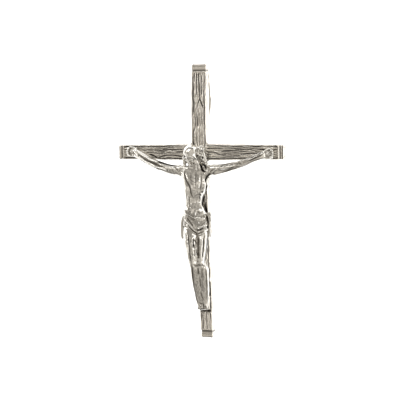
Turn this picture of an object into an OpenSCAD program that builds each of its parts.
/* [Cross] */
// Height of the cross from end to end
cross_h = 45.8; // [42:0.2:60]
// Height of the top end above the middle of the crossbeam
top_h = 14.6; // [13:0.2:18]
// Span of the crossbeam from end to end
span = 29.2; // [27:0.2:40]
// Width of the stem from its top to the crossbeam
stem_w = 2.65; // [2.4:0.05:3.4]
// Width of the stem at its foot
foot_w = 2.15; // [2:0.05:3.4]
// Height of the crossbeam at the stem
beam_w = 2.7; // [2.4:0.05:3.4]
// Height of the crossbeam at its ends
beam_end_w = 2.45; // [2.2:0.05:3.4]
// Depth of the stem from front to back
cross_t = 1.75; // [1.5:0.05:2.5]
// How far the crossbeam's faces lie below the stem's
beam_sink = 0.06; // [0.04:0.01:0.15]
// Sideways lean of the stem's top end
top_lean = 0.2; // [0:0.05:0.4]
// Sideways lean of the stem's foot
foot_lean = 0.9; // [0:0.05:1.2]
// Chamfer along the beams' long edges
edge = 0.2; // [0.1:0.02:0.3]
// Fillet in the four inner corners of the crossing
corner = 0.45; // [0.2:0.05:0.8]

/* [Caps] */
// Length of the plain cap at the stem's two ends
stem_cap = 1; // [0.8:0.05:2]
// Length of the plain cap at the crossbeam's two ends
beam_cap = 0.55; // [0.4:0.05:1.5]
// Bevel around each end
cap_bevel = 0.22; // [0.1:0.02:0.3]
// Width of the line cut around the beam beside each cap
line_w = 0.3; // [0.16:0.02:0.4]
// Depth of that line
line_d = 0.13; // [0.06:0.01:0.2]

/* [Wood grain] */
// Number of long grooves along each beam
grooves = 4; // [2:1:5]
// Depth of the long grooves
groove_d = 0.13; // [0.05:0.01:0.2]
// Width of the long grooves
groove_w = 0.22; // [0.12:0.01:0.26]
// How far a groove wanders to each side
wander = 0.09; // [0:0.01:0.12]
// Length of one bend of a groove
wander_l = 6.5; // [4:0.5:12]

/* [Bail] */
// Width of the bail's strip across the stem
bail_w = 2.2; // [1.4:0.1:2.4]
// Thickness of the strip
bail_t = 0.5; // [0.35:0.05:0.7]
// Length of the bail along the stem
bail_l = 9.4; // [6:0.1:11]
// How far the bail stands out behind the stem
bail_h = 1.85; // [1.6:0.05:2.8]
// Distance from the stem's top end to the bail
bail_drop = 0.8; // [0.6:0.1:4]

/* [Figure] */
// Height of the figure from the crown of its head to its toes
figure_h = 27.75; // [26:0.25:30]
// Height of the crown above the middle of the crossbeam
crown_rise = 1.35; // [0.5:0.05:2]
// Width across the chest
chest_w = 4.9; // [4.2:0.1:5.6]
// Distance from the cross to the front of the face
figure_t = 3.9; // [3.4:0.1:4.4]
// Thickness of an arm beside the shoulder
arm_t = 1.6; // [1.3:0.05:1.9]
// Distance from the crossbeam's left end to the palm
left_hand_inset = 2.75; // [2:0.05:4]
// Distance from the crossbeam's right end to the palm
right_hand_inset = 2.4; // [1.8:0.05:4]
// Width of an open hand
hand_w = 1.55; // [1.3:0.05:1.8]
// Thickness of a hand
hand_t = 0.75; // [0.6:0.05:0.9]

/* [Pins] */
// Diameter of the nails and of the pin behind the feet
pin_d = 0.45; // [0.35:0.05:0.6]
// Diameter of a nail's head
nail_head_d = 0.8; // [0.7:0.05:1]
// Height of a nail's head
nail_head_h = 0.22; // [0.15:0.01:0.3]
// How deep a pin goes into the cross
pin_depth = 1.1; // [0.8:0.05:1.3]
// How deep the pin behind the feet goes into them
foot_pin_depth = 0.45; // [0.3:0.05:0.6]
// Clearance around a pin, at its end and under a nail's head
fit_gap = 0.03; // [0.02:0.01:0.06]
// Clearance between the figure and the cross
seat_gap = 0.05; // [0.03:0.01:0.1]

/* [Hidden] */

METAL = [0.72, 0.71, 0.68];
CORPUS_METAL = [0.8, 0.79, 0.75];
SOLDER_LAP = 0.15;

// Wood grain: distance between the rings of a beam, share of a groove's pitch kept free beside the
// edges, turn of the wander from one groove to the next, and its start on the crossbeam
RING_GAP = 1.6;
EDGE_SHARE = 0.4;
GROOVE_TURN = 50;
BEAM_TURN = 110;

foot_y = top_h - cross_h;
left_hand_x = left_hand_inset - span / 2;
right_hand_x = span / 2 - right_hand_inset;
left_hand_y = beam_end_w * 0.06;
right_hand_y = -beam_end_w * 0.08;
palm_z = seat_gap - beam_sink + hand_t / 2;
nail_seat_z = palm_z + hand_t * 0.3;

// The bail's outer edge is one arc, whose middle lies in front of the strip
bail_r = (pow(bail_l / 2, 2) + pow(bail_h, 2)) / (2 * bail_h);
bail_y = top_h - bail_drop - bail_l / 2;
bail_z = bail_r - bail_h - cross_t;

// At rest the pendant lies on the bail's arc and on the back edge of its foot
foot_edge_y = foot_y + cap_bevel;
foot_to_bail = norm([bail_y - foot_edge_y, bail_z + cross_t]);
rise_to_bail = atan2(bail_z + cross_t, bail_y - foot_edge_y);
tilt = asin(bail_r / foot_to_bail) - rise_to_bail;
lift = cross_t * cos(tilt) - foot_edge_y * sin(tilt);
top_reach = top_h * cos(tilt) + (cross_t - cap_bevel) * sin(tilt);
foot_reach = foot_y * cos(tilt) + cap_bevel * sin(tilt);

function mix(a, b, t) = a + (b - a) * t;
function ease(t) = let (c = max(0, min(1, t))) c * c * (3 - 2 * c);
function down(share) = crown_rise - figure_h * share;
function across(share) = chest_w * share;
function out(share) = seat_gap + figure_t * share;

// Turns the pendant's own frame, with the cross's front at z = 0, into the way it lies at rest
module lie() {
    translate([0, -(top_reach + foot_reach) / 2, lift])
        rotate([tilt, 0, 0])
            children();
}

function sum(list, i = 0) = i == len(list) - 1 ? list[i] : list[i] + sum(list, i + 1);

// Closed solid through rings that all have the same number of points
module loft(rings) {
    n = len(rings[0]);
    last = len(rings) - 1;
    first_centre = n * len(rings);
    points = concat([for (r = rings) each r], [sum(rings[0]) / n, sum(rings[last]) / n]);
    ends = [for (i = [0:n - 1])
        let (j = (i + 1) % n)
            each [[first_centre, j, i], [first_centre + 1, last * n + i, last * n + j]]];
    sides = [for (k = [0:last - 1], i = [0:n - 1])
        let (a = k * n + i, b = k * n + (i + 1) % n)
            each [[a, b + n, a + n], [a, b, b + n]]];
    polyhedron(points, concat(ends, sides), convexity = 8);
}

// Front edge of a beam's section from right to left, with the grooves of the wood grain
function grain_line(s, half, depth, front, seed) =
    [for (g = [0:grooves - 1])
        let (
            pitch = 2 * (half - edge) / (grooves + EDGE_SHARE),
            drift = wander * sin(360 * s / wander_l + GROOVE_TURN * g + seed),
            middle = (grooves - 1 - 2 * g) / 2 * pitch + drift)
            each [
                [middle + groove_w / 2, front],
                [middle, front - depth],
                [middle - groove_w / 2, front]]];

// Section of a beam: chamfered bar, with its width, its inset all round and its groove depth
function beam_ring(s, w, inset, depth, sink, seed) =
    let (
        half = w / 2 - inset,
        front = -sink - inset,
        back = -cross_t + sink + inset)
        concat(
            [[half - edge, front]],
            grain_line(s, half, depth, front, seed),
            [
                [edge - half, front],
                [-half, front - edge],
                [-half, back + edge],
                [edge - half, back],
                [half - edge, back],
                [half, back + edge],
                [half, front - edge]]);

// Stations along a beam from one end to the other: place, inset and groove depth
function stations(a, b, cap) =
    let (
        count = ceil((b - a - 2 * cap - 2 * line_w) / RING_GAP),
        start = a + cap + line_w,
        stop = b - cap - line_w)
        concat(
            [
                [a, cap_bevel, 0],
                [a + cap_bevel, 0, 0],
                [a + cap, 0, 0],
                [a + cap + line_w / 2, line_d, 0]],
            [for (k = [0:count]) [mix(start, stop, k / count), 0, groove_d]],
            [
                [b - cap - line_w / 2, line_d, 0],
                [b - cap, 0, 0],
                [b - cap_bevel, 0, 0],
                [b, cap_bevel, 0]]);

function stem_width(y) = mix(stem_w, foot_w, ease(y / foot_y));
function stem_middle(y) = y > 0 ? top_lean * pow(y / top_h, 2) : foot_lean * pow(y / foot_y, 1.2);
function beam_height(x) = mix(beam_w, beam_end_w, ease(abs(x) / (span / 2)));

module stem() {
    loft([for (s = stations(foot_y, top_h, stem_cap))
        [for (p = beam_ring(s[0], stem_width(s[0]), s[1], s[2], 0, 0))
            [p[0] + stem_middle(s[0]), s[0], p[1]]]]);
}

module crossbeam() {
    loft([for (s = stations(-span / 2, span / 2, beam_cap))
        [for (p = beam_ring(s[0], beam_height(s[0]), s[1], s[2], beam_sink, BEAM_TURN))
            [s[0], -p[0], p[1]]]]);
}

module crossing_fillets() {
    reach_x = stem_w / 2 + corner;
    reach_y = beam_w / 2 + corner;
    depth = cross_t - 2 * (beam_sink + edge);
    translate([0, 0, -beam_sink - edge - depth])
        linear_extrude(depth)
            polygon([
                [reach_x, 0],
                [reach_x, beam_w / 2 - SOLDER_LAP],
                [stem_w / 2 - SOLDER_LAP, reach_y],
                [SOLDER_LAP - stem_w / 2, reach_y],
                [-reach_x, beam_w / 2 - SOLDER_LAP],
                [-reach_x, SOLDER_LAP - beam_w / 2],
                [SOLDER_LAP - stem_w / 2, -reach_y],
                [stem_w / 2 - SOLDER_LAP, -reach_y],
                [reach_x, SOLDER_LAP - beam_w / 2]]);
}

module bail() {
    translate([stem_middle(bail_y) - bail_w / 2, bail_y, bail_z])
        rotate([90, 0, 90])
            linear_extrude(bail_w)
                difference() {
                    circle(bail_r, $fn = 96);
                    circle(bail_r - bail_t, $fn = 96);
                    translate([-2 * bail_r, SOLDER_LAP - bail_z - cross_t])
                        square(4 * bail_r);
                }
}

// Blind bore in the cross's front for a pin, from just above the face
module pin_bore(x, y) {
    translate([x, y, -pin_depth - fit_gap])
        cylinder(d = pin_d + 2 * fit_gap, h = pin_depth + 1, $fn = 32);
}

module cross() {
    color(METAL)
        lie()
            difference() {
                union() {
                    stem();
                    crossbeam();
                    crossing_fillets();
                    bail();
                }
                pin_bore(left_hand_x, left_hand_y);
                pin_bore(right_hand_x, right_hand_y);
                pin_bore(foot_pin_x, foot_pin_y);
            }
}

// Rounded limb along a path in the figure's plane; columns: x, y, z, half width, half depth
module limb(rows, sides = 12) {
    last = len(rows) - 1;
    loft([for (k = [0:last])
        let (
            c = rows[k],
            step = rows[min(k + 1, last)] - rows[max(k - 1, 0)],
            way = [step.x, step.y] / norm([step.x, step.y]))
            [for (i = [0:sides - 1])
                let (a = 360 * i / sides)
                    [
                        c.x + way.y * c[3] * cos(a),
                        c.y - way.x * c[3] * cos(a),
                        c.z + c[4] * sin(a)]]]);
}

// Egg-shaped form with three half axes, leaning to one side and nodding forward
module egg(at, half, lean = 0, nod = 0, sides = 16) {
    translate(at)
        rotate([nod, 0, lean])
            scale(half)
                sphere(1, $fn = sides);
}

// Round strand through balls, each given by its place and its radius
module strand(balls, sides = 8) {
    for (k = [0:len(balls) - 2])
        hull()
            for (b = [balls[k], balls[k + 1]])
                translate([b.x, b.y, b.z])
                    sphere(b[3], $fn = sides);
}

// Place in the figure from shares of its width, height and depth
function spot(x, y, z) = [across(x), down(y), out(z)];
function bead(x, y, z, r) = [across(x), down(y), out(z), chest_w * r];

// Trunk from neck to hips; columns: share down, middle, half width, back, front
TRUNK = [
    [0.118, -0.03, 0.15, 0.28, 0.6],
    [0.135, -0.02, 0.33, 0.25, 0.6],
    [0.157, -0.02, 0.5, 0.22, 0.66],
    [0.186, -0.01, 0.52, 0.2, 0.71],
    [0.214, -0.01, 0.48, 0.18, 0.72],
    [0.24, -0.03, 0.43, 0.16, 0.7],
    [0.27, -0.05, 0.39, 0.16, 0.66],
    [0.3, -0.07, 0.345, 0.16, 0.6],
    [0.33, -0.08, 0.31, 0.15, 0.56],
    [0.36, -0.08, 0.31, 0.15, 0.57],
    [0.39, -0.06, 0.37, 0.15, 0.61],
    [0.425, -0.02, 0.43, 0.14, 0.64],
    [0.47, -0.01, 0.45, 0.14, 0.66],
    [0.51, -0.01, 0.42, 0.16, 0.62]];

// Legs from hip to toes; columns: share down, middle, half width, middle depth, half depth
LEFT_LEG = [
    [0.47, -0.2, 0.22, 0.38, 0.26],
    [0.53, -0.21, 0.245, 0.41, 0.31],
    [0.59, -0.205, 0.245, 0.43, 0.31],
    [0.65, -0.165, 0.215, 0.46, 0.275],
    [0.7, -0.128, 0.185, 0.5, 0.25],
    [0.72, -0.116, 0.178, 0.5, 0.245],
    [0.75, -0.102, 0.16, 0.455, 0.215],
    [0.795, -0.098, 0.152, 0.37, 0.22],
    [0.85, -0.088, 0.135, 0.24, 0.17],
    [0.9, -0.07, 0.112, 0.165, 0.13],
    [0.93, -0.04, 0.116, 0.135, 0.12],
    [0.965, -0.004, 0.118, 0.135, 0.105],
    [0.985, 0.012, 0.1, 0.13, 0.08]];
RIGHT_LEG = [
    [0.47, 0.19, 0.22, 0.36, 0.26],
    [0.52, 0.215, 0.215, 0.38, 0.29],
    [0.57, 0.22, 0.195, 0.4, 0.29],
    [0.635, 0.2, 0.165, 0.44, 0.25],
    [0.7, 0.188, 0.14, 0.475, 0.23],
    [0.72, 0.187, 0.137, 0.465, 0.225],
    [0.765, 0.182, 0.132, 0.37, 0.21],
    [0.83, 0.168, 0.122, 0.235, 0.165],
    [0.885, 0.165, 0.108, 0.155, 0.12],
    [0.935, 0.176, 0.098, 0.12, 0.105],
    [0.97, 0.196, 0.095, 0.12, 0.095],
    [0.985, 0.204, 0.082, 0.115, 0.075]];

// Arm from shoulder to wrist; columns: share along, share of the rise, half thickness, share of the depth
ARM = [
    [0, 0, 0.5, 0],
    [0.06, 0.03, 0.56, 0.04],
    [0.12, 0.08, 0.54, 0.1],
    [0.24, 0.17, 0.48, 0.18],
    [0.4, 0.31, 0.445, 0.28],
    [0.52, 0.42, 0.4, 0.36],
    [0.6, 0.52, 0.41, 0.44],
    [0.72, 0.67, 0.375, 0.6],
    [0.84, 0.82, 0.31, 0.8],
    [0.92, 0.92, 0.28, 0.95],
    [1, 1, 0.26, 1]];

// Folds of the loincloth; columns: share down at the hips, dip at the front, half width, back, front
FOLDS = [
    [0.385, 0.035, 0.37, 0.13, 0.62],
    [0.395, 0.045, 0.43, 0.12, 0.73],
    [0.405, 0.05, 0.41, 0.12, 0.67],
    [0.415, 0.055, 0.47, 0.11, 0.78],
    [0.425, 0.065, 0.45, 0.11, 0.7],
    [0.435, 0.075, 0.49, 0.1, 0.81],
    [0.45, 0.075, 0.47, 0.1, 0.72],
    [0.465, 0.08, 0.5, 0.1, 0.8],
    [0.485, 0.06, 0.48, 0.1, 0.74]];

trunk_sides = 24;
shoulder_x = 0.46;
shoulder_y = down(0.163);
shoulder_z = out(0.4);
foot_pin_x = across(0.02);
foot_pin_y = down(0.96);

// Ring of the trunk or of a fold, flattened towards a rounded box
function body_ring(down_share, middle, half, back, front, dip) =
    let (depth = (out(front) - out(back)) / 2, level = (out(front) + out(back)) / 2)
        [for (i = [0:trunk_sides - 1])
            let (
                a = 360 * i / trunk_sides,
                c = sign(cos(a)) * pow(abs(cos(a)), 0.8),
                s = sign(sin(a)) * pow(abs(sin(a)), 0.8),
                fall = sin(a) > 0 ? dip * (1 - c * c) : 0)
                [
                    across(middle) - across(half) * c,
                    down(down_share + fall),
                    level + depth * s]];

module trunk() {
    loft([for (r = TRUNK) body_ring(r[0], r[1], r[2], r[3], r[4], 0)]);
    for (side = [-1, 1])
        egg(spot(side * 0.23 - 0.01, 0.192, 0.57), [across(0.22), figure_h * 0.034, figure_t * 0.2]);
    egg(spot(-0.07, 0.35, 0.47), [across(0.19), figure_h * 0.05, figure_t * 0.16]);
}

module leg(rows) {
    limb([for (r = rows) [across(r[1]), down(r[0]), out(r[3]), across(r[2]), figure_t * r[4]]], 14);
}

module kneecaps() {
    egg(spot(-0.12, 0.705, 0.66), [across(0.11), figure_h * 0.022, figure_t * 0.1]);
    egg(spot(0.19, 0.695, 0.61), [across(0.09), figure_h * 0.022, figure_t * 0.1]);
}

// Five toes at the end of a foot, the big toe towards the other foot
module toes(middle, half, big) {
    for (i = [0:4]) {
        place = middle + big * half * (0.72 - 0.36 * i);
        thick = half * (i == 0 ? 0.3 : 0.21);
        strand([
            bead(place, 0.972, 0.17, thick),
            bead(place + 0.012, 0.992 - 0.003 * i, 0.13, thick)]);
    }
}

module arm(side, palm_x, palm_y) {
    from = [side * across(shoulder_x), shoulder_y, shoulder_z];
    to = [palm_x - side * hand_w * 0.35, palm_y - hand_w * 0.12, palm_z];
    limb([for (r = ARM)
        [
            mix(from.x, to.x, r[0]),
            mix(from.y, to.y, r[1]),
            mix(from.z, to.z, r[3]),
            arm_t * r[2],
            min(arm_t * r[2], mix(arm_t, hand_t * 1.3, r[3]) * 0.52)]]);
}

module hand(side, x, y) {
    function palm_ball(out, up, rise, r) =
        [x + side * hand_w * out, y + hand_w * up, palm_z + hand_t * rise, hand_w * r];
    difference() {
        union() {
            egg([x, y, palm_z], [hand_w * 0.5, hand_w * 0.46, hand_t * 0.46]);
            for (i = [0:3])
                strand([
                    palm_ball(0.28, 0.3 - 0.2 * i, 0, 0.11),
                    palm_ball(0.56, 0.26 - 0.17 * i, 0.2, 0.1),
                    palm_ball(0.5, 0.22 - 0.15 * i, 0.42, 0.09)]);
            strand([
                palm_ball(-0.25, 0.3, 0, 0.13),
                palm_ball(0.05, 0.5, 0.25, 0.1)]);
        }
        translate([x, y, palm_z - hand_t])
            cylinder(d = pin_d + 2 * fit_gap, h = 2 * hand_t, $fn = 32);
        translate([x, y, nail_seat_z])
            cylinder(d = nail_head_d + 2 * fit_gap, h = hand_t, $fn = 32);
    }
}

module head() {
    egg(spot(-0.07, 0.058, 0.63), [across(0.29), figure_h * 0.057, figure_t * 0.37], 8, -20);
    egg(spot(-0.1, 0.1, 0.71), [across(0.2), figure_h * 0.047, figure_t * 0.26], 6, -25);
    strand([bead(-0.1, 0.118, 0.85, 0.06), bead(-0.1, 0.145, 0.84, 0.08), bead(-0.09, 0.158, 0.8, 0.045)]);
    strand([bead(-0.1, 0.085, 0.93, 0.03), bead(-0.1, 0.104, 0.96, 0.035)]);
}

module hair() {
    strand([
        bead(-0.29, 0.06, 0.56, 0.07),
        bead(-0.36, 0.09, 0.5, 0.065),
        bead(-0.36, 0.12, 0.46, 0.06),
        bead(-0.3, 0.15, 0.5, 0.05)]);
    strand([
        bead(-0.24, 0.07, 0.72, 0.06),
        bead(-0.28, 0.1, 0.66, 0.055),
        bead(-0.24, 0.135, 0.66, 0.05)]);
    strand([
        bead(0.1, 0.03, 0.66, 0.1),
        bead(0.24, 0.04, 0.56, 0.1),
        bead(0.3, 0.07, 0.5, 0.085),
        bead(0.33, 0.11, 0.45, 0.07),
        bead(0.36, 0.15, 0.42, 0.05)]);
    strand([
        bead(0.13, 0.06, 0.68, 0.085),
        bead(0.2, 0.1, 0.62, 0.07),
        bead(0.26, 0.135, 0.58, 0.06),
        bead(0.28, 0.162, 0.6, 0.045)]);
}

module loincloth() {
    loft([for (r = FOLDS) body_ring(r[0], -0.01, r[2], r[3], r[4], r[1])]);
    limb([
        [across(-0.42), down(0.41), out(0.4), across(0.07), figure_t * 0.12],
        [across(-0.5), down(0.44), out(0.4), across(0.075), figure_t * 0.14],
        [across(-0.53), down(0.49), out(0.39), across(0.08), figure_t * 0.14],
        [across(-0.54), down(0.54), out(0.37), across(0.085), figure_t * 0.13],
        [across(-0.53), down(0.565), out(0.36), across(0.07), figure_t * 0.1]]);
    egg(spot(0.47, 0.428, 0.42), [across(0.09), figure_h * 0.02, figure_t * 0.14]);
    limb([
        [across(0.44), down(0.43), out(0.42), across(0.06), figure_t * 0.1],
        [across(0.46), down(0.47), out(0.42), across(0.075), figure_t * 0.13],
        [across(0.45), down(0.52), out(0.4), across(0.08), figure_t * 0.12],
        [across(0.42), down(0.552), out(0.38), across(0.06), figure_t * 0.09]]);
}

module corpus() {
    color(CORPUS_METAL)
        lie()
            difference() {
                union() {
                    head();
                    hair();
                    trunk();
                    loincloth();
                    leg(LEFT_LEG);
                    leg(RIGHT_LEG);
                    kneecaps();
                    toes(0.012, 0.1, 1);
                    toes(0.204, 0.085, -1);
                    arm(-1, left_hand_x, left_hand_y);
                    arm(1, right_hand_x, right_hand_y);
                    hand(-1, left_hand_x, left_hand_y);
                    hand(1, right_hand_x, right_hand_y);
                }
                translate([-span, foot_y, seat_gap - figure_t])
                    cube([2 * span, 2 * cross_h, figure_t - beam_sink]);
                translate([foot_pin_x, foot_pin_y, 0])
                    cylinder(d = pin_d + 2 * fit_gap, h = seat_gap + foot_pin_depth + fit_gap, $fn = 32);
            }
}

// Nail with a domed head, from its point in the cross to its head sunk in the palm
module hand_nail(x, y) {
    dome_r = (pow(nail_head_h, 2) + pow(nail_head_d / 2, 2)) / (2 * nail_head_h);
    translate([x, y, -pin_depth])
        cylinder(d = pin_d, h = pin_depth + nail_seat_z + fit_gap + nail_head_h / 2, $fn = 32);
    translate([x, y, nail_seat_z + fit_gap])
        rotate_extrude($fn = 48)
            intersection() {
                translate([0, nail_head_h - dome_r])
                    circle(dome_r, $fn = 96);
                square([nail_head_d, nail_head_h]);
            }
}

module nail_left_hand() {
    color(METAL)
        lie()
            hand_nail(left_hand_x, left_hand_y);
}

module nail_right_hand() {
    color(METAL)
        lie()
            hand_nail(right_hand_x, right_hand_y);
}

module foot_pin() {
    color(METAL)
        lie()
            translate([foot_pin_x, foot_pin_y, -pin_depth])
                cylinder(d = pin_d, h = pin_depth + seat_gap + foot_pin_depth, $fn = 32);
}

cross();
corpus();
nail_left_hand();
nail_right_hand();
foot_pin();
